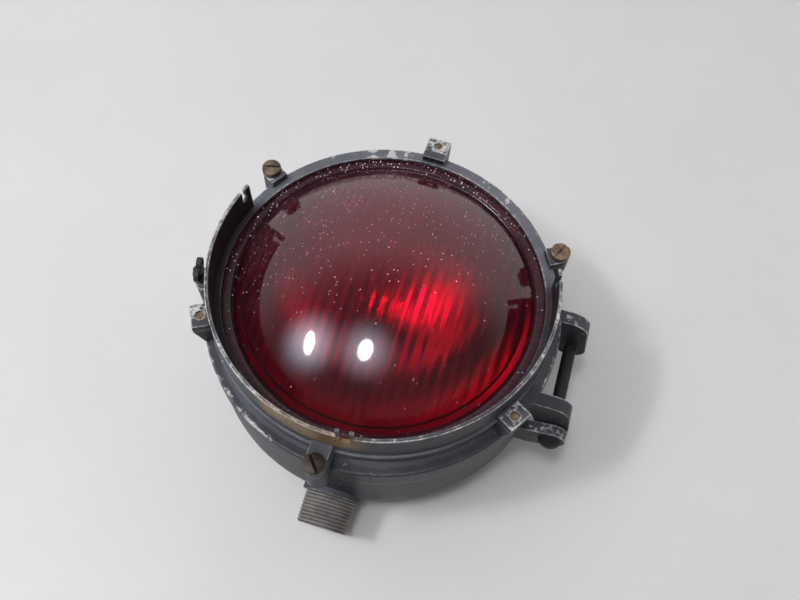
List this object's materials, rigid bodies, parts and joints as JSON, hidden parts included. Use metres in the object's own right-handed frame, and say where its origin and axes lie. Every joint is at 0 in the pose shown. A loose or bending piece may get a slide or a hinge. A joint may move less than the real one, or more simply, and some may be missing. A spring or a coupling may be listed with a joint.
{
  "type": "railroad signal light",
  "caption": "Round cast signal lamp head with a hinged red lens door, partial hood collar, screw lugs, thumb screw latch and threaded pipe stem; reflector and bulb inside.",
  "frame": {"origin": "Middle of the flat back of the housing, on the lens axis.", "axes": "+Z leaves through the lens; the pipe stem points towards -Y and leans 9.5 degrees to the back; the hinge pin is on the +X side, parallel to Y. In service the lamp hangs from its stem, so -Y is up."},
  "size_m": [0.2555, 0.2567, 0.1445],
  "materials": {
    "painted_casting": "chipped slate-black paint over a light alloy casting",
    "pipe_steel": "dull threaded pipe",
    "dark_steel": "dark oxidised steel",
    "aged_brass": "brown aged brass",
    "bulb_brass": "cleaner brass",
    "red_glass": "deep ruby pressed glass",
    "clear_glass": "clear blown glass",
    "silvered_metal": "silvered reflector",
    "porcelain": "white porcelain",
    "tungsten": "dark wire",
    "tinned_copper": "tinned copper",
    "moulded_phenolic": "dark brown moulding",
    "brown_fibre": "vulcanised fibre",
    "lead_insulation": "rubber covered wire",
    "seal_rubber": "black sheet rubber"
  },
  "bodies": {
    "case": {"housing": "painted_casting", "stem_nipple": "pipe_steel", "stem_bushing": "brown_fibre", "door_seal": "seal_rubber", "hinge_pin": "dark_steel", "cross_pin": "dark_steel", "reflector": "silvered_metal", "reflector_screws": "aged_brass", "socket_bracket": "dark_steel", "bracket_screws": "aged_brass", "socket_base": "porcelain", "socket_shell": "aged_brass", "bulb_cap": "bulb_brass", "bulb_glass": "clear_glass", "bulb_stem": "clear_glass", "filament": "tungsten", "terminal_board": "moulded_phenolic", "board_screws": "aged_brass", "terminal_studs": "aged_brass", "terminal_nuts": "aged_brass", "wire_tags": "tinned_copper", "lamp_leads": "lead_insulation"},
    "door": {"door_frame": "painted_casting", "lens": "red_glass", "lens_seal": "seal_rubber", "lens_cushion": "seal_rubber", "snap_ring": "dark_steel", "lug_screws": "aged_brass", "lug_stubs": "aged_brass"},
    "latch_washer": {"latch_washer": "dark_steel"},
    "wing_screw": {"wing_screw": "dark_steel"}
  },
  "joints": [
    {"name": "door_hinge", "type": "hinge", "parent": "case", "child": "door", "pos_m": [0.125, -0.006, 0.0641], "axis": [0, 1, 0], "range_deg": [0, 110]},
    {"name": "latch_lift", "type": "slide", "parent": "door", "child": "latch_washer", "axis": [0, 0, -1], "range_m": [0, 0.006]},
    {"name": "wing_turn", "type": "hinge", "parent": "latch_washer", "child": "wing_screw", "pos_m": [-0.11534, -0.02242, 0.107], "axis": [0, 0, -1], "range_deg": [0, 1701]}
  ],
  "couplings": [
    {"joint": "wing_turn", "follows": "latch_lift", "rad_per_m": 4947.4}
  ]
}
